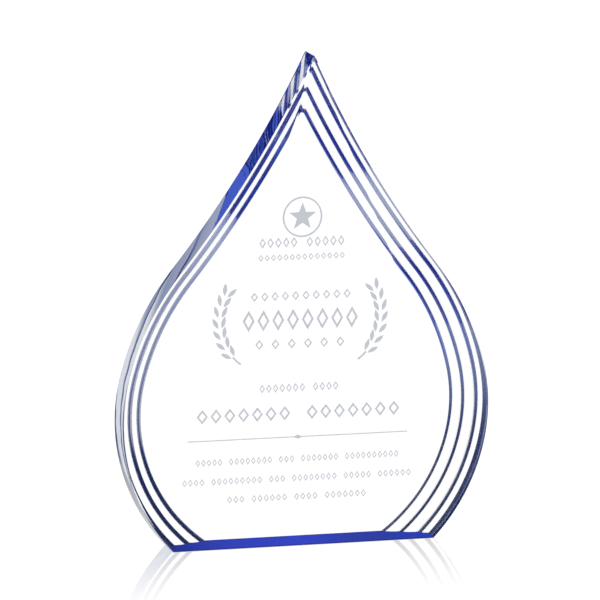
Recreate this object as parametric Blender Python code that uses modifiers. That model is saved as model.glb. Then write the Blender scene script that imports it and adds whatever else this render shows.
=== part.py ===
"""Clear teardrop award with a fluted back edge and a thin blue layer bonded under its flat foot.

Metres, +Z up. The origin is the middle of the underside. The flat front face looks along -Y,
the fluted back along +Y, and the award is symmetric about X = 0.
"""
import math

import bmesh
import bpy
from mathutils import Vector

MM = 0.001

# Driving dimensions.
HEIGHT = 216.0 * MM                 # to where the flanks would meet; the tip is rounded
WIDTH = 165.8 * MM
THICKNESS = 25.4 * MM
BELLY_HEIGHT = 57.7 * MM            # height of the widest place
LAYER_THICKNESS = 0.25 * MM         # the blue layer
BOND_GAP = 0.3 * MM                 # room for the clear bonding film

# Arcs of the outline: each radius holds over an angle measured from the widest place.
UPPER_RADII = (77.7 * MM, 119.5 * MM)
UPPER_ANGLES = (math.radians(13.4), math.radians(38.5))
LOWER_RADII = (79.6 * MM, 85.1 * MM)
LOWER_ANGLE = math.radians(12.3)

# The stepped back edge: three round flutes, each leaving a thin flat ridge inside it.
RIM_DEPTH = 13.2 * MM               # from the front face to the first flute
RIDGE_INSETS = (2.9 * MM, 8.0 * MM, 12.7 * MM)
RIDGE_DEPTHS = (17.6 * MM, 21.6 * MM, THICKNESS)
RIDGE_WIDTH = 0.4 * MM
FLUTE_DROP = 0.2 * MM               # how far a flute starts below the ridge outside it
FLUTE_RADIUS = 4.8 * MM
EDGE_CHAMFER = 0.5 * MM             # polished chamfer around the front face
RIM_TIP_RADIUS = 0.4 * MM
RIDGE_TIP_RADIUS = 1.0 * MM

# Facets.
LOWER_STEPS = (7, 3)
UPPER_STEPS = (3, 6)
FLANK_STEPS = 12
TIP_STEPS = 4
FLUTE_STEPS = 6

FRONT_Y = -THICKNESS / 2
BODY_BOTTOM = LAYER_THICKNESS + BOND_GAP


def clear_scene():
    for old in list(bpy.data.objects):
        bpy.data.objects.remove(old, do_unlink=True)


def direction(angle):
    return Vector((math.cos(angle), math.sin(angle)))


def spread(start, end, steps):
    """The steps values after start, evenly spaced, the last one being end."""
    return [start + (end - start) * (i + 1) / steps for i in range(steps)]


def arc_centres():
    """Centres of the two lower arcs, the two upper arcs and the concave flank, and its radius."""
    upper_1 = Vector((WIDTH / 2 - UPPER_RADII[0], BELLY_HEIGHT))
    upper_2 = upper_1 + (UPPER_RADII[0] - UPPER_RADII[1]) * direction(UPPER_ANGLES[0])
    lower_1 = Vector((WIDTH / 2 - LOWER_RADII[0], BELLY_HEIGHT))
    lower_2 = lower_1 + (LOWER_RADII[0] - LOWER_RADII[1]) * direction(-LOWER_ANGLE)
    normal = direction(UPPER_ANGLES[1])
    flank_start = upper_2 + UPPER_RADII[1] * normal
    to_apex = Vector((0.0, HEIGHT)) - flank_start
    flank_radius = to_apex.length_squared / (2 * to_apex.dot(normal))
    flank = flank_start + flank_radius * normal
    return lower_1, lower_2, upper_1, upper_2, flank, flank_radius


def tip_radius(inset):
    """The rim has a nearly sharp tip, and the ridges inside it have rounded ones."""
    share = min(1.0, inset / RIDGE_INSETS[0])
    return RIM_TIP_RADIUS + (RIDGE_TIP_RADIUS - RIM_TIP_RADIUS) * share


def half_outline(inset, bottom):
    """Right half of the outline moved inwards by inset, from the height bottom up to the tip."""
    lower_1, lower_2, upper_1, upper_2, flank, flank_radius = arc_centres()
    start = math.asin((bottom - lower_2.y) / (LOWER_RADII[1] - inset))
    points = [lower_2 + (LOWER_RADII[1] - inset) * direction(start)]
    arcs = (
        (lower_2, LOWER_RADII[1], start, -LOWER_ANGLE, LOWER_STEPS[0]),
        (lower_1, LOWER_RADII[0], -LOWER_ANGLE, 0.0, LOWER_STEPS[1]),
        (upper_1, UPPER_RADII[0], 0.0, UPPER_ANGLES[0], UPPER_STEPS[0]),
        (upper_2, UPPER_RADII[1], UPPER_ANGLES[0], UPPER_ANGLES[1], UPPER_STEPS[1]),
    )
    for centre, radius, first, last, steps in arcs:
        points += [centre + (radius - inset) * direction(a) for a in spread(first, last, steps)]

    # The flank bends the other way round a centre outside the award, then rounds over at the tip.
    radius = flank_radius + inset
    tip = tip_radius(inset)
    tip_height = flank.y - math.sqrt((radius + tip) ** 2 - flank.x ** 2)
    to_tip = Vector((0.0, tip_height)) - flank
    turn = math.atan2(-to_tip.y, -to_tip.x)
    flank_angles = spread(UPPER_ANGLES[1], turn, FLANK_STEPS)
    points += [flank - radius * direction(a) for a in flank_angles]
    tip_angles = spread(turn, math.pi / 2, TIP_STEPS)
    points += [Vector((0.0, tip_height)) + tip * direction(a) for a in tip_angles]
    points[-1].x = 0.0
    return points


def flute(start, end):
    """Points along the hollow arc of FLUTE_RADIUS from one (inset, depth) point to another."""
    half_chord = math.dist(start, end) / 2
    slope = math.atan2(end[1] - start[1], end[0] - start[0])
    half_angle = math.asin(half_chord / FLUTE_RADIUS)
    centre_inset = end[0] - FLUTE_RADIUS * math.sin(slope + half_angle)
    centre_depth = end[1] + FLUTE_RADIUS * math.cos(slope + half_angle)
    points = []
    for angle in spread(slope - half_angle, slope + half_angle, FLUTE_STEPS):
        inset = centre_inset + FLUTE_RADIUS * math.sin(angle)
        points.append((inset, centre_depth - FLUTE_RADIUS * math.cos(angle)))
    return points


def edge_profile():
    """Section through the edge as (inset, depth) pairs, from the front face to the flat back."""
    profile = [(EDGE_CHAMFER, 0.0), (0.0, EDGE_CHAMFER), (0.0, RIM_DEPTH)]
    for ridge in zip(RIDGE_INSETS, RIDGE_DEPTHS):
        profile += flute(profile[-1], ridge)
        if ridge[1] < THICKNESS:
            profile.append((ridge[0] + RIDGE_WIDTH, ridge[1]))
            profile.append((ridge[0] + RIDGE_WIDTH, ridge[1] - FLUTE_DROP))
    return profile


def loft(mesh, first, second):
    """Skin between two rows of vertices of the same length."""
    for i in range(len(first) - 1):
        mesh.faces.new((first[i], first[i + 1], second[i + 1], second[i]))


def mirrored_object(name, mesh, material, collection):
    """The object whose right half is in mesh, which is open at X = 0."""
    bmesh.ops.recalc_face_normals(mesh, faces=mesh.faces)
    data = bpy.data.meshes.new(name)
    mesh.to_mesh(data)
    mesh.free()
    data.materials.append(material)
    thing = bpy.data.objects.new(name, data)
    collection.objects.link(thing)
    mirror = thing.modifiers.new("other half", "MIRROR")
    mirror.merge_threshold = 0.00001
    data.shade_smooth()
    data.set_sharp_from_angle(angle=math.radians(30))
    return thing


def crystal_body(collection):
    """The clear block: the outline lofted through the stepped edge, flat in front and behind."""
    mesh = bmesh.new()
    rows = []
    for inset, depth in edge_profile():
        outline = half_outline(inset, BODY_BOTTOM)
        rows.append([mesh.verts.new((p.x, FRONT_Y + depth, p.y)) for p in outline])
    for first, second in zip(rows, rows[1:]):
        loft(mesh, first, second)
    front_middle = mesh.verts.new((0.0, FRONT_Y, BODY_BOTTOM))
    back_middle = mesh.verts.new((0.0, FRONT_Y + THICKNESS, BODY_BOTTOM))
    mesh.faces.new([front_middle] + rows[0])
    mesh.faces.new([back_middle] + rows[-1])
    mesh.faces.new([front_middle] + [row[0] for row in rows] + [back_middle])
    return mirrored_object("crystal_body", mesh, clear_acrylic(), collection)


def base_layer(collection):
    """The blue layer: the body's footprint carried down to the ground along the same outline."""
    mesh = bmesh.new()
    levels = []
    for height in (0.0, LAYER_THICKNESS):
        edge = [(half_outline(inset, height)[0].x, depth) for inset, depth in edge_profile()]
        section = [(0.0, 0.0)] + edge + [(0.0, THICKNESS)]
        levels.append([mesh.verts.new((x, FRONT_Y + depth, height)) for x, depth in section])
    loft(mesh, levels[0], levels[1])
    for level in levels:
        mesh.faces.new(level)
    return mirrored_object("blue_base_layer", mesh, blue_acrylic(), collection)


def principled(name, colour, roughness, transmission):
    material = bpy.data.materials.new(name)
    material.use_nodes = True
    shader = material.node_tree.nodes["Principled BSDF"]
    shader.inputs["Base Color"].default_value = colour
    shader.inputs["Roughness"].default_value = roughness
    shader.inputs["Metallic"].default_value = 0.0
    shader.inputs["IOR"].default_value = 1.49
    shader.inputs["Transmission Weight"].default_value = transmission
    return material


def clear_acrylic():
    return principled("clear_acrylic", (0.96, 0.98, 1.0, 1.0), 0.02, 1.0)


def blue_acrylic():
    return principled("blue_acrylic", (0.022, 0.032, 0.43, 1.0), 0.25, 0.0)


def build():
    clear_scene()
    award = bpy.data.collections.new("crystal_award")
    bpy.context.scene.collection.children.link(award)
    crystal_body(award)
    base_layer(award)


build()
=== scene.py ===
"""Looks of the clear teardrop award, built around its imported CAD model."""
import math

import bmesh
import bpy
from mathutils import Matrix, Vector


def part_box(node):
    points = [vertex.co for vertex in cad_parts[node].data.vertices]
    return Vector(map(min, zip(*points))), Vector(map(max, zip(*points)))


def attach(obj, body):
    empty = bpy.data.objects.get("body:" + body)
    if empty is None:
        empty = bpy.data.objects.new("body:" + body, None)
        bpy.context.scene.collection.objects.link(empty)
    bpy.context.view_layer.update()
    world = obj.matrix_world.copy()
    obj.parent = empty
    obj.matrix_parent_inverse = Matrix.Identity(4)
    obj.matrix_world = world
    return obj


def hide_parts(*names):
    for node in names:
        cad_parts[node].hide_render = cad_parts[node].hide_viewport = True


MM = 0.001

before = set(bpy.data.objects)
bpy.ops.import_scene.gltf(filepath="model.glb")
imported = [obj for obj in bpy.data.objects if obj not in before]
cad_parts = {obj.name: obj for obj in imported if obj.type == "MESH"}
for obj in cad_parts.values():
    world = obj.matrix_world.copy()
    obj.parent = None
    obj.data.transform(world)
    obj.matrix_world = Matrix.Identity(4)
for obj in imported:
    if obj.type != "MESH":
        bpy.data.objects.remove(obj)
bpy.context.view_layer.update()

# Sizes taken from the CAD model.
body_low, body_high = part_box("crystal_body")
layer_low, layer_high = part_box("blue_base_layer")
WIDTH = body_high.x - body_low.x
THICKNESS = body_high.y - body_low.y
FRONT_Y = body_low.y
BACK_Y = body_high.y
LAYER_REACH = layer_high.x          # half the length of the blue layer
TIP_HEIGHT = body_high.z

# The outline's arcs: each radius holds up to an angle measured from the widest place.
TIP_TRIM = 0.54 * MM                # what the rounding takes off a sharp tip
HEIGHT = TIP_HEIGHT + TIP_TRIM      # where the flanks would meet if the tip were sharp
BELLY_HEIGHT = 57.7 * MM
UPPER_RADII = (77.7 * MM, 119.5 * MM)
UPPER_ANGLES = (math.radians(13.4), math.radians(38.5))
LOWER_RADII = (79.6 * MM, 85.1 * MM)
LOWER_ANGLE = math.radians(12.3)

# The stepped back edge: three round flutes, each leaving a thin flat ridge inside it.
RIM_DEPTH = 13.2 * MM
RIDGE_INSETS = (2.9 * MM, 8.0 * MM, 12.7 * MM)
RIDGE_DEPTHS = (17.6 * MM, 21.6 * MM, THICKNESS)
RIDGE_WIDTH = 0.4 * MM
FLUTE_DROP = 0.2 * MM
FLUTE_RADIUS = 4.8 * MM
EDGE_CHAMFER = 0.5 * MM
RIM_TIP_RADIUS = 0.4 * MM
RIDGE_TIP_RADIUS = 1.0 * MM

# Fineness of the visual meshes.
LOWER_STEPS = (40, 14)
UPPER_STEPS = (14, 36)
FLANK_STEPS = 60
TIP_STEPS = 10
FLUTE_STEPS = 20
CIRCLE_STEPS = 64
LEAF_STEPS = 10
SHARP_ANGLE = math.radians(25)      # edges that turn more than this are shaded sharp
MIRROR_MERGE = 0.001 * MM

# The frosted engraving: an emblem, two laurel branches, rows of lozenges and a divider.
ENGRAVING_X = -4.0 * MM             # the middle of all of it
ENGRAVING_DEPTH = 0.25 * MM
EMBLEM_HEIGHT = 145.5 * MM
EMBLEM_RADIUS = 8.9 * MM
EMBLEM_RING = 0.7 * MM
STAR_POINTS = 5
STAR_RADII = (6.3 * MM, 2.6 * MM)
LAUREL_CENTRE = (12.3 * MM, 101.0 * MM)
LAUREL_RADIUS = 24.0 * MM
LAUREL_PAIRS = 7                    # pairs of leaves on a branch
LAUREL_SPAN = (math.radians(-42), math.radians(27))
LAUREL_FOOT = math.radians(-55)
LAUREL_SPLAY = math.radians(22)
LEAF_LENGTH = 5.4 * MM
LEAF_WIDTH = 1.8 * MM
STEM_WIDTH = 0.8 * MM
DIVIDER_HEIGHT = 48.5 * MM
DIVIDER_LENGTH = 99.6 * MM
DIVIDER_WIDTH = 0.4 * MM
DIVIDER_LOZENGE = (2.2 * MM, 0.9 * MM)      # half its width, and half its height
DIVIDER_START = 0.9                 # each line starts this share of the way to the lozenge's point

# Each row: its height, length and lozenge size, and the number of lozenges in each group.
ORNAMENT_ROWS = (
    (134.5 * MM, 39.0 * MM, 4.6 * MM, (5, 5)),
    (128.0 * MM, 39.5 * MM, 2.9 * MM, (14,)),
    (111.0 * MM, 46.5 * MM, 4.0 * MM, (10,)),
    (100.5 * MM, 53.3 * MM, 9.4 * MM, (8,)),
    (89.9 * MM, 44.0 * MM, 4.4 * MM, (6,)),
    (70.4 * MM, 36.3 * MM, 3.8 * MM, (7, 4)),
    (59.2 * MM, 93.0 * MM, 6.4 * MM, (7, 7)),
    (38.8 * MM, 92.5 * MM, 3.2 * MM, (5, 8, 3, 7, 10)),
    (30.2 * MM, 104.2 * MM, 3.2 * MM, (4, 9, 3, 8, 5, 6)),
    (21.9 * MM, 63.5 * MM, 3.2 * MM, (3, 6, 4, 7)),
)
LOZENGE_WIDTH = 0.8                 # of the pitch, or of the lozenge's height if that is less
LOZENGE_HOLE = 0.62                 # size of the hole in a lozenge, as a share of the lozenge

FACE_INSET = 0.03 * MM              # the engraving stands this much proud of the glass
BOND_OVERLAP = 0.05 * MM            # the glass reaches this far down into the blue layer

# The materials of the award.
REFRACTIVE_INDEX = 1.49
RIPPLE_HEIGHT = 0.06 * MM
RIPPLE_SCALE = 28.0
RIPPLE_DISTORTION = 3.0
EDGE_FACING = 0.05                  # the normals of the upright edge have less than this along Y
LAYER_GLOW = 0.7                    # stands for the light that the clear block gathers onto the layer
MOTTLE_SCALE = 120.0
MOTTLE_SHIFT = 0.3
EDGE_SHADE_BAND = (0.42 * THICKNESS, 0.5 * THICKNESS)      # distances from its middle where painted shade darkens the blue
RIM_STEEPNESS = (0.3, 0.5)          # rays that head more than this along Y see the blue painted lighter
GRAIN_SCALE = 1800.0
CLOUD_SCALE = 90.0

# The studio: a white reflector behind on the right, and a white backdrop. Each of their bounds is
# an axis and two headings along it: a ray misses at the first, and is fully within at the second.
WHITE = 1.1                         # brightness of the studio's white
REFLECTOR = (("Y", (0.25, 0.35)), ("X", (0.1, 0.2)), ("Z", (-0.6, -0.47)), ("Z", (0.1, 0.0)))
BACKDROP = (("Y", (0.8, 0.9)), ("X", (-0.2, -0.1)))
FLOOR_SIZE = 30.0
FLOOR_GLOSS = 0.4                   # share of the reflection beside the award
REFLECTION_REACH = 110 * MM         # it has faded out this far in front
PORTAL_LIFT = 0.01 * MM             # keeps a mirrored ray from meeting the floor again
BOUNCES = 24                        # enough for rays reflected many times inside the glass


def direction(angle):
    return Vector((math.cos(angle), math.sin(angle)))


def spread(start, end, steps):
    """The steps values after start, evenly spaced, the last one being end."""
    return [start + (end - start) * (i + 1) / steps for i in range(steps)]


def arc_centres():
    """Centres of the two lower arcs, the two upper arcs and the concave flank, and its radius."""
    upper_1 = Vector((WIDTH / 2 - UPPER_RADII[0], BELLY_HEIGHT))
    upper_2 = upper_1 + (UPPER_RADII[0] - UPPER_RADII[1]) * direction(UPPER_ANGLES[0])
    lower_1 = Vector((WIDTH / 2 - LOWER_RADII[0], BELLY_HEIGHT))
    lower_2 = lower_1 + (LOWER_RADII[0] - LOWER_RADII[1]) * direction(-LOWER_ANGLE)
    normal = direction(UPPER_ANGLES[1])
    flank_start = upper_2 + UPPER_RADII[1] * normal
    to_apex = Vector((0.0, HEIGHT)) - flank_start
    flank_radius = to_apex.length_squared / (2 * to_apex.dot(normal))
    flank = flank_start + flank_radius * normal
    return lower_1, lower_2, upper_1, upper_2, flank, flank_radius


def tip_radius(inset):
    """The rim has a nearly sharp tip, and the ridges inside it have rounded ones."""
    share = min(1.0, inset / RIDGE_INSETS[0])
    return RIM_TIP_RADIUS + (RIDGE_TIP_RADIUS - RIM_TIP_RADIUS) * share


def half_outline(inset, bottom):
    """Right half of the outline moved inwards by inset, from the height bottom up to the tip."""
    lower_1, lower_2, upper_1, upper_2, flank, flank_radius = arc_centres()
    start = math.asin((bottom - lower_2.y) / (LOWER_RADII[1] - inset))
    points = [lower_2 + (LOWER_RADII[1] - inset) * direction(start)]
    arcs = (
        (lower_2, LOWER_RADII[1], start, -LOWER_ANGLE, LOWER_STEPS[0]),
        (lower_1, LOWER_RADII[0], -LOWER_ANGLE, 0.0, LOWER_STEPS[1]),
        (upper_1, UPPER_RADII[0], 0.0, UPPER_ANGLES[0], UPPER_STEPS[0]),
        (upper_2, UPPER_RADII[1], UPPER_ANGLES[0], UPPER_ANGLES[1], UPPER_STEPS[1]),
    )
    for centre, radius, first, last, steps in arcs:
        points += [centre + (radius - inset) * direction(a) for a in spread(first, last, steps)]

    # The flank bends the other way round a centre outside the award, then rounds over at the tip.
    radius = flank_radius + inset
    tip = tip_radius(inset)
    tip_height = flank.y - math.sqrt((radius + tip) ** 2 - flank.x ** 2)
    to_tip = Vector((0.0, tip_height)) - flank
    turn = math.atan2(-to_tip.y, -to_tip.x)
    flank_angles = spread(UPPER_ANGLES[1], turn, FLANK_STEPS)
    points += [flank - radius * direction(a) for a in flank_angles]
    tip_angles = spread(turn, math.pi / 2, TIP_STEPS)
    points += [Vector((0.0, tip_height)) + tip * direction(a) for a in tip_angles]
    points[-1].x = 0.0
    return points


def flute(start, end):
    """Points along the hollow arc of FLUTE_RADIUS from one (inset, depth) point to another."""
    half_chord = math.dist(start, end) / 2
    slope = math.atan2(end[1] - start[1], end[0] - start[0])
    half_angle = math.asin(half_chord / FLUTE_RADIUS)
    centre_inset = end[0] - FLUTE_RADIUS * math.sin(slope + half_angle)
    centre_depth = end[1] + FLUTE_RADIUS * math.cos(slope + half_angle)
    points = []
    for angle in spread(slope - half_angle, slope + half_angle, FLUTE_STEPS):
        inset = centre_inset + FLUTE_RADIUS * math.sin(angle)
        points.append((inset, centre_depth - FLUTE_RADIUS * math.cos(angle)))
    return points


def edge_profile():
    """Section through the edge as (inset, depth) pairs, from the front face to the flat back."""
    profile = [(EDGE_CHAMFER, FACE_INSET), (0.0, EDGE_CHAMFER), (0.0, RIM_DEPTH)]
    for ridge in zip(RIDGE_INSETS, RIDGE_DEPTHS):
        profile += flute(profile[-1], ridge)
        if ridge[1] < THICKNESS:
            profile.append((ridge[0] + RIDGE_WIDTH, ridge[1]))
            profile.append((ridge[0] + RIDGE_WIDTH, ridge[1] - FLUTE_DROP))
    return profile


def loft(mesh, first, second):
    """Skin between two rows of vertices of the same length."""
    for i in range(len(first) - 1):
        mesh.faces.new((first[i], first[i + 1], second[i + 1], second[i]))


def piece(name, mesh, material):
    """The object made of mesh, which moves with the award's one body."""
    bmesh.ops.recalc_face_normals(mesh, faces=mesh.faces)
    data = bpy.data.meshes.new(name)
    mesh.to_mesh(data)
    mesh.free()
    data.materials.append(material)
    data.shade_smooth()
    data.set_sharp_from_angle(angle=SHARP_ANGLE)
    thing = bpy.data.objects.new(name, data)
    bpy.context.scene.collection.objects.link(thing)
    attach(thing, "root")
    return thing


def mirror_half(thing):
    """Adds the left half to a piece whose right half is open at X = 0."""
    mirror = thing.modifiers.new("other half", "MIRROR")
    mirror.merge_threshold = MIRROR_MERGE


def crystal(material):
    """The clear block, down to the blue layer, with fine flutes."""
    bottom = layer_high.z - BOND_OVERLAP
    mesh = bmesh.new()
    rows = []
    for inset, depth in edge_profile():
        outline = half_outline(inset, bottom)
        rows.append([mesh.verts.new((p.x, FRONT_Y + depth, p.y)) for p in outline])
    for first, second in zip(rows, rows[1:]):
        loft(mesh, first, second)
    front_middle = mesh.verts.new((0.0, FRONT_Y + FACE_INSET, bottom))
    back_middle = mesh.verts.new((0.0, BACK_Y, bottom))
    mesh.faces.new([front_middle] + rows[0])
    mesh.faces.new([back_middle] + rows[-1])
    mesh.faces.new([front_middle] + [row[0] for row in rows] + [back_middle])
    block = piece("clear_crystal", mesh, material)
    mirror_half(block)
    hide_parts("crystal_body")


def blue_layer(material):
    """The blue layer, in optical contact with the glass above it."""
    mesh = bmesh.new()
    levels = []
    for height in (layer_low.z, layer_high.z):
        edge = [(half_outline(inset, height)[0].x, depth) for inset, depth in edge_profile()]
        section = [(0.0, FACE_INSET)] + edge + [(0.0, THICKNESS)]
        levels.append([mesh.verts.new((x, FRONT_Y + depth, height)) for x, depth in section])
    loft(mesh, levels[0], levels[1])
    for level in levels:
        mesh.faces.new(level)
    layer = piece("blue_layer", mesh, material)
    mirror_half(layer)
    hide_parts("blue_base_layer")


def ring(mesh, outline, depth):
    """Vertices on a closed outline of (x, height) points, at a depth behind the front."""
    return [mesh.verts.new((x, FRONT_Y + depth, z)) for x, z in outline]


def band(mesh, first, second):
    """Skin between two closed rings of vertices of the same length."""
    for i in range(len(first)):
        mesh.faces.new((first[i - 1], first[i], second[i], second[i - 1]))


def prism(mesh, outline):
    """A solid on a closed outline, set into the front face."""
    front = ring(mesh, outline, 0.0)
    back = ring(mesh, outline, ENGRAVING_DEPTH)
    mesh.faces.new(front)
    mesh.faces.new(back)
    band(mesh, front, back)


def hollow_prism(mesh, outer, inner):
    """A solid like a prism, between an outer and an inner outline of the same length."""
    rings = [ring(mesh, outer, 0.0), ring(mesh, outer, ENGRAVING_DEPTH),
             ring(mesh, inner, ENGRAVING_DEPTH), ring(mesh, inner, 0.0)]
    for i in range(len(rings)):
        band(mesh, rings[i - 1], rings[i])


def polygon(centre, radii, corners):
    """Outline with its corners at the radii in turn, the first one straight above the centre."""
    points = []
    for i in range(corners):
        radius = radii[i % len(radii)]
        angle = math.pi / 2 + 2 * math.pi * i / corners
        points.append((centre[0] + radius * math.cos(angle), centre[1] + radius * math.sin(angle)))
    return points


def lozenge(centre, half_width, half_height):
    x, z = centre
    return [(x + half_width, z), (x, z + half_height), (x - half_width, z), (x, z - half_height)]


def emblem(material):
    """A five-pointed star in a ring."""
    mesh = bmesh.new()
    centre = (ENGRAVING_X, EMBLEM_HEIGHT)
    outer = polygon(centre, (EMBLEM_RADIUS,), CIRCLE_STEPS)
    inner = polygon(centre, (EMBLEM_RADIUS - EMBLEM_RING,), CIRCLE_STEPS)
    hollow_prism(mesh, outer, inner)
    prism(mesh, polygon(centre, STAR_RADII, 2 * STAR_POINTS))
    piece("engraved_emblem", mesh, material)


def leaf(mesh, base, heading):
    """A pointed oval that grows from its base along the heading."""
    outline = []
    for side in (1, -1):
        for step in range(LEAF_STEPS):
            share = step / LEAF_STEPS if side == 1 else 1 - step / LEAF_STEPS
            point = Vector((LEAF_LENGTH * share, side * LEAF_WIDTH / 2 * math.sin(math.pi * share)))
            point.rotate(Matrix.Rotation(heading, 2))
            outline.append((base[0] + point.x, base[1] + point.y))
    prism(mesh, outline)


def laurel_branch(name, side, material):
    """A branch that curves up one side of the rows: 1 is the right side, -1 the left."""
    mesh = bmesh.new()
    centre = (ENGRAVING_X + side * LAUREL_CENTRE[0], LAUREL_CENTRE[1])

    def on_arc(angle, radius):
        return (centre[0] + side * radius * math.cos(angle), centre[1] + radius * math.sin(angle))

    stem = spread(LAUREL_FOOT, LAUREL_SPAN[0], LEAF_STEPS)
    outer = [on_arc(a, LAUREL_RADIUS + STEM_WIDTH / 2) for a in stem]
    inner = [on_arc(a, LAUREL_RADIUS - STEM_WIDTH / 2) for a in reversed(stem)]
    prism(mesh, outer + inner)
    stations = spread(LAUREL_SPAN[0], LAUREL_SPAN[1], LAUREL_PAIRS - 1)
    for angle in [LAUREL_SPAN[0]] + stations:
        growth = math.atan2(math.cos(angle), -side * math.sin(angle))
        leaf(mesh, on_arc(angle, LAUREL_RADIUS + STEM_WIDTH), growth - side * LAUREL_SPLAY)
        leaf(mesh, on_arc(angle, LAUREL_RADIUS - STEM_WIDTH), growth + side * LAUREL_SPLAY)
    piece(name, mesh, material)


def ornament_rows(material):
    """Rows of hollow lozenges in groups, which stand in for lines of words."""
    mesh = bmesh.new()
    for height, length, size, groups in ORNAMENT_ROWS:
        pitch = length / (sum(groups) + len(groups) - 1)
        half_width = LOZENGE_WIDTH * min(pitch, size) / 2
        x = ENGRAVING_X - length / 2 + pitch / 2
        for group in groups:
            for _ in range(group):
                outer = lozenge((x, height), half_width, size / 2)
                inner = lozenge((x, height), LOZENGE_HOLE * half_width, LOZENGE_HOLE * size / 2)
                hollow_prism(mesh, outer, inner)
                x += pitch
            x += pitch
    piece("engraved_rows", mesh, material)


def divider(material):
    """A thin line with a small lozenge in its middle."""
    mesh = bmesh.new()
    middle = (ENGRAVING_X, DIVIDER_HEIGHT)
    half_width, half_height = DIVIDER_LOZENGE
    prism(mesh, lozenge(middle, half_width, half_height))
    for side in (1, -1):
        near = ENGRAVING_X + side * DIVIDER_START * half_width
        far = ENGRAVING_X + side * DIVIDER_LENGTH / 2
        low = DIVIDER_HEIGHT - DIVIDER_WIDTH / 2
        high = DIVIDER_HEIGHT + DIVIDER_WIDTH / 2
        prism(mesh, [(near, low), (far, low), (far, high), (near, high)])
    piece("engraved_divider", mesh, material)


class Nodes:
    """Short forms for building a node tree."""

    def __init__(self, tree):
        tree.nodes.clear()
        self.tree = tree

    def add(self, kind, inputs=None, **settings):
        node = self.tree.nodes.new(kind)
        for name, value in settings.items():
            setattr(node, name, value)
        for name, value in (inputs or {}).items():
            if isinstance(value, bpy.types.NodeSocket):
                self.tree.links.new(value, node.inputs[name])
            else:
                node.inputs[name].default_value = value
        return node

    def math(self, operation, first, second=0.0):
        node = self.add("ShaderNodeMath", {0: first, 1: second}, operation=operation)
        return node.outputs[0]

    def vector_math(self, operation, first, second):
        node = self.add("ShaderNodeVectorMath", {0: first, 1: second}, operation=operation)
        return node.outputs[0]

    def between(self, value, limits):
        """0 for a value up to the first limit, 1 from the second limit on, and a share between."""
        node = self.add("ShaderNodeMapRange", {0: value, 1: limits[0], 2: limits[1]})
        return node.outputs[0]

    def axes(self, vector):
        """The parts of a vector, by the names X, Y and Z."""
        return self.add("ShaderNodeSeparateXYZ", {0: vector}).outputs

    def mix_colour(self, share, first, second):
        node = self.add("ShaderNodeMix", {0: share, 6: first, 7: second}, data_type="RGBA")
        return node.outputs[2]


def material_nodes(name):
    material = bpy.data.materials.new(name)
    material.use_nodes = True
    return material, Nodes(material.node_tree)


def grey(level):
    return (level, level, level, 1.0)


def srgb(red, green, blue):
    """A linear colour from screen values of 0 to 255."""
    shares = (red / 255, green / 255, blue / 255)
    return tuple(((c + 0.055) / 1.055) ** 2.4 if c > 0.04045 else c / 12.92 for c in shares) + (1.0,)


def ramp(nodes, place, stops):
    """A colour for each place from 0 to 1, from (place, colour) stops."""
    node = nodes.add("ShaderNodeValToRGB", {0: place})
    elements = node.color_ramp.elements
    while len(elements) < len(stops):
        elements.new(0.5)
    for element, (position, colour) in zip(elements, stops):
        element.position = position
        element.color = colour
    return node.outputs[0]


def clear_glass():
    """Polished clear acrylic, with faint cutter ripples round its edge."""
    material, nodes = material_nodes("clear_crystal")
    geometry = nodes.add("ShaderNodeNewGeometry")
    facing = nodes.math("ABSOLUTE", nodes.axes(geometry.outputs["True Normal"])["Y"])
    edge = nodes.math("LESS_THAN", facing, EDGE_FACING)
    waves = nodes.add("ShaderNodeTexWave", {
        "Vector": geometry.outputs["Position"], "Scale": RIPPLE_SCALE,
        "Distortion": RIPPLE_DISTORTION, "Detail": 1.0}, bands_direction="Z")
    ripples = nodes.add("ShaderNodeBump", {
        "Height": waves.outputs["Fac"], "Strength": edge, "Distance": RIPPLE_HEIGHT})
    glass = nodes.add("ShaderNodeBsdfGlass", {
        "Color": grey(1.0), "Roughness": 0.0, "IOR": REFRACTIVE_INDEX, "Normal": ripples.outputs[0]})
    nodes.add("ShaderNodeOutputMaterial", {"Surface": glass.outputs[0]})
    return material


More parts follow.
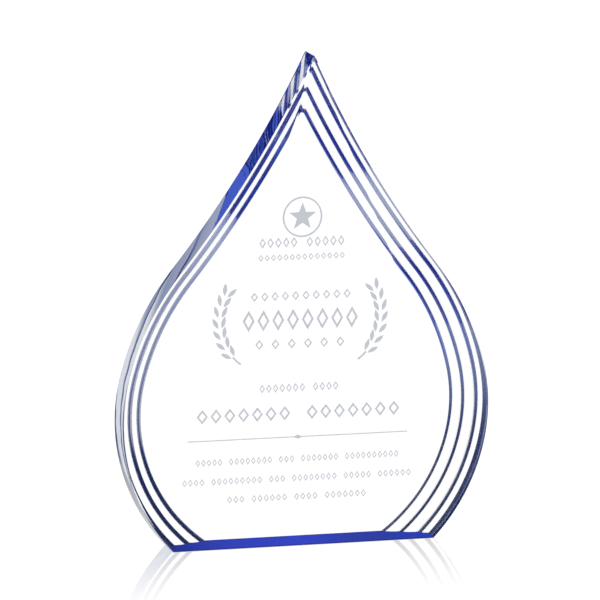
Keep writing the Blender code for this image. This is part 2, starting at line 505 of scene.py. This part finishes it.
def royal_blue():
    """Blue with slow changes of depth along its length, with painted shade on its front and back edges,
    painted light and shade that change with the ray, and a painted glow.
    """
    material, nodes = material_nodes("blue_layer")
    geometry = nodes.add("ShaderNodeNewGeometry")
    place = nodes.axes(geometry.outputs["Position"])
    along = nodes.between(place["X"], (-LAYER_REACH, LAYER_REACH))
    mottle = nodes.add("ShaderNodeTexNoise", {"Scale": MOTTLE_SCALE, "Detail": 3.0})
    shift = nodes.math("MULTIPLY", nodes.math("SUBTRACT", mottle.outputs[0], 0.5), MOTTLE_SHIFT)
    stops = ((0.0, srgb(30, 44, 134)), (0.2, srgb(46, 61, 175)), (0.5, srgb(49, 64, 188)),
             (0.75, srgb(42, 57, 153)), (1.0, srgb(38, 59, 172)))
    outside = ramp(nodes, nodes.math("ADD", along, shift), stops)
    # Painted shade: the blue darkens towards its front and back edges, standing in for the shadow along
    # them where the layer meets the floor.
    edge_shade = nodes.between(nodes.math("ABSOLUTE", place["Y"]), EDGE_SHADE_BAND)
    outside = nodes.mix_colour(edge_shade, outside, srgb(24, 36, 108))

    # Painted light and shade: rays reflected inside the glass see the blue painted darker, and those that
    # came in through the rim, and so travel steeply to the faces, see it painted lighter.
    steepness = nodes.math("ABSOLUTE", heading_axes(nodes)["Y"])
    rim_painted_light = nodes.between(steepness, RIM_STEEPNESS)
    inner = nodes.mix_colour(rim_painted_light, srgb(26, 38, 130), srgb(84, 112, 228))
    colour = nodes.mix_colour(inside_reflected(nodes), outside, inner)
    surface = nodes.add("ShaderNodeBsdfPrincipled", {
        "Base Color": colour, "Roughness": 0.5, "Specular IOR Level": 0.0,
        "Emission Color": colour, "Emission Strength": LAYER_GLOW})
    nodes.add("ShaderNodeOutputMaterial", {"Surface": surface.outputs[0]})
    return material


def frosted():
    """Sand-blasted acrylic: whitish grey, with a fine grain, and clear to rays reflected inside."""
    material, nodes = material_nodes("frosted_engraving")
    grain = nodes.add("ShaderNodeTexNoise", {"Scale": GRAIN_SCALE, "Detail": 2.0})
    clouds = nodes.add("ShaderNodeTexNoise", {"Scale": CLOUD_SCALE, "Detail": 1.0})
    tone = nodes.math("ADD", grain.outputs[0], clouds.outputs[0])
    share = nodes.math("MULTIPLY", tone, 0.5)
    colour = ramp(nodes, share, ((0.3, srgb(190, 193, 199)), (0.7, srgb(214, 217, 223))))
    diffuse = nodes.add("ShaderNodeBsdfDiffuse", {"Color": colour, "Roughness": 1.0})
    clear = nodes.add("ShaderNodeBsdfTransparent")
    surface = nodes.add("ShaderNodeMixShader", {
        0: inside_reflected(nodes), 1: diffuse.outputs[0], 2: clear.outputs[0]})
    nodes.add("ShaderNodeOutputMaterial", {"Surface": surface.outputs[0]})
    return material


def inside_reflected(nodes):
    """1 for a ray that has been reflected inside the glass, else 0."""
    path = nodes.add("ShaderNodeLightPath")
    return nodes.math("GREATER_THAN", path.outputs["Glossy Depth"], 0.5)


def heading_axes(nodes):
    """The direction the ray travels in, split into X, Y and Z."""
    geometry = nodes.add("ShaderNodeNewGeometry")
    return nodes.axes(nodes.vector_math("MULTIPLY", geometry.outputs["Incoming"], (-1.0, -1.0, -1.0)))


def within(nodes, heading, bounds):
    """1 for a ray whose heading is within all of the bounds, else 0, with soft edges."""
    share = 1.0
    for axis, limits in bounds:
        share = nodes.math("MULTIPLY", nodes.between(heading[axis], limits), share)
    return share


def studio_colour(nodes):
    """What a ray meets in the studio: white if it came straight, else the room by its direction."""
    heading = heading_axes(nodes)
    rise = nodes.between(heading["Z"], (-1.0, 1.0))
    stops = ((0.10, srgb(168, 176, 202)), (0.30, srgb(126, 138, 177)), (0.42, srgb(98, 110, 150)),
             (0.50, srgb(62, 74, 118)), (0.58, srgb(22, 34, 84)), (0.75, srgb(14, 24, 62)))
    room = ramp(nodes, rise, stops)
    room = nodes.mix_colour(within(nodes, heading, BACKDROP), room, grey(1.0))
    room = nodes.mix_colour(within(nodes, heading, REFLECTOR), room, srgb(236, 240, 246))
    return nodes.mix_colour(inside_reflected(nodes), grey(WHITE), room)


def floor_material():
    """White and glossy: a portal sends the rays that see it directly back up, as a mirror does."""
    material, nodes = material_nodes("studio_floor")
    geometry = nodes.add("ShaderNodeNewGeometry")
    mirrored = nodes.vector_math("MULTIPLY", geometry.outputs["Incoming"], (-1.0, -1.0, 1.0))
    lifted = nodes.vector_math("ADD", geometry.outputs["Position"], (0.0, 0.0, PORTAL_LIFT))
    portal = nodes.add("ShaderNodeBsdfRayPortal", {"Position": lifted, "Direction": mirrored})
    white = nodes.add("ShaderNodeEmission", {"Color": studio_colour(nodes)})
    path = nodes.add("ShaderNodeLightPath")
    straight = nodes.math("LESS_THAN", path.outputs["Ray Depth"], 0.5)
    depth = nodes.axes(geometry.outputs["Position"])["Y"]
    nearness = nodes.between(depth, (FRONT_Y - REFLECTION_REACH, FRONT_Y))
    gloss = nodes.math("MULTIPLY", nodes.math("MULTIPLY", nearness, FLOOR_GLOSS), straight)
    mix = nodes.add("ShaderNodeMixShader", {0: gloss, 1: white.outputs[0], 2: portal.outputs[0]})
    nodes.add("ShaderNodeOutputMaterial", {"Surface": mix.outputs[0]})
    return material


def studio_world():
    """White all round, and the room's tones for rays that were reflected inside the glass."""
    world = bpy.data.worlds.new("studio")
    bpy.context.scene.world = world
    world.use_nodes = True
    nodes = Nodes(world.node_tree)
    background = nodes.add("ShaderNodeBackground", {"Color": studio_colour(nodes)})
    nodes.add("ShaderNodeOutputWorld", {"Surface": background.outputs[0]})


def studio_floor():
    bpy.ops.mesh.primitive_plane_add(size=FLOOR_SIZE, location=(0.0, 0.0, 0.0))
    floor = bpy.context.object
    floor.name = "studio_floor"
    floor.data.materials.append(floor_material())


def camera():
    """A long lens, a little to the left of the award and above it."""
    yaw = math.radians(17.55)
    pitch = math.radians(11.89)
    roll = math.radians(1.19)
    distance = 2.835
    target = Vector((-4.4 * MM, FRONT_Y, 109.0 * MM))
    forward = Vector((math.sin(yaw) * math.cos(pitch), math.cos(yaw) * math.cos(pitch), -math.sin(pitch)))
    level = Vector((math.cos(yaw), -math.sin(yaw), 0.0))
    upright = level.cross(forward)
    right = level * math.cos(roll) + upright * math.sin(roll)
    up = upright * math.cos(roll) - level * math.sin(roll)
    place = Matrix((right, up, -forward)).transposed().to_4x4()
    place.translation = target - forward * distance
    data = bpy.data.cameras.new("camera")
    data.sensor_width = 36.0
    data.lens = 394.7
    data.clip_end = 100.0
    view = bpy.data.objects.new("camera", data)
    view.matrix_world = place
    bpy.context.scene.collection.objects.link(view)
    bpy.context.scene.camera = view


def light_paths():
    """Deep light paths for the glass, and colours shown as they are."""
    scene = bpy.context.scene
    scene.cycles.max_bounces = BOUNCES
    scene.cycles.transmission_bounces = BOUNCES
    scene.cycles.glossy_bounces = BOUNCES
    scene.cycles.transparent_max_bounces = BOUNCES
    scene.view_settings.view_transform = "Standard"


def build():
    crystal(clear_glass())
    blue_layer(royal_blue())
    engraving = frosted()
    emblem(engraving)
    laurel_branch("engraved_laurel_left", -1, engraving)
    laurel_branch("engraved_laurel_right", 1, engraving)
    ornament_rows(engraving)
    divider(engraving)
    studio_floor()
    studio_world()
    camera()
    light_paths()


build()
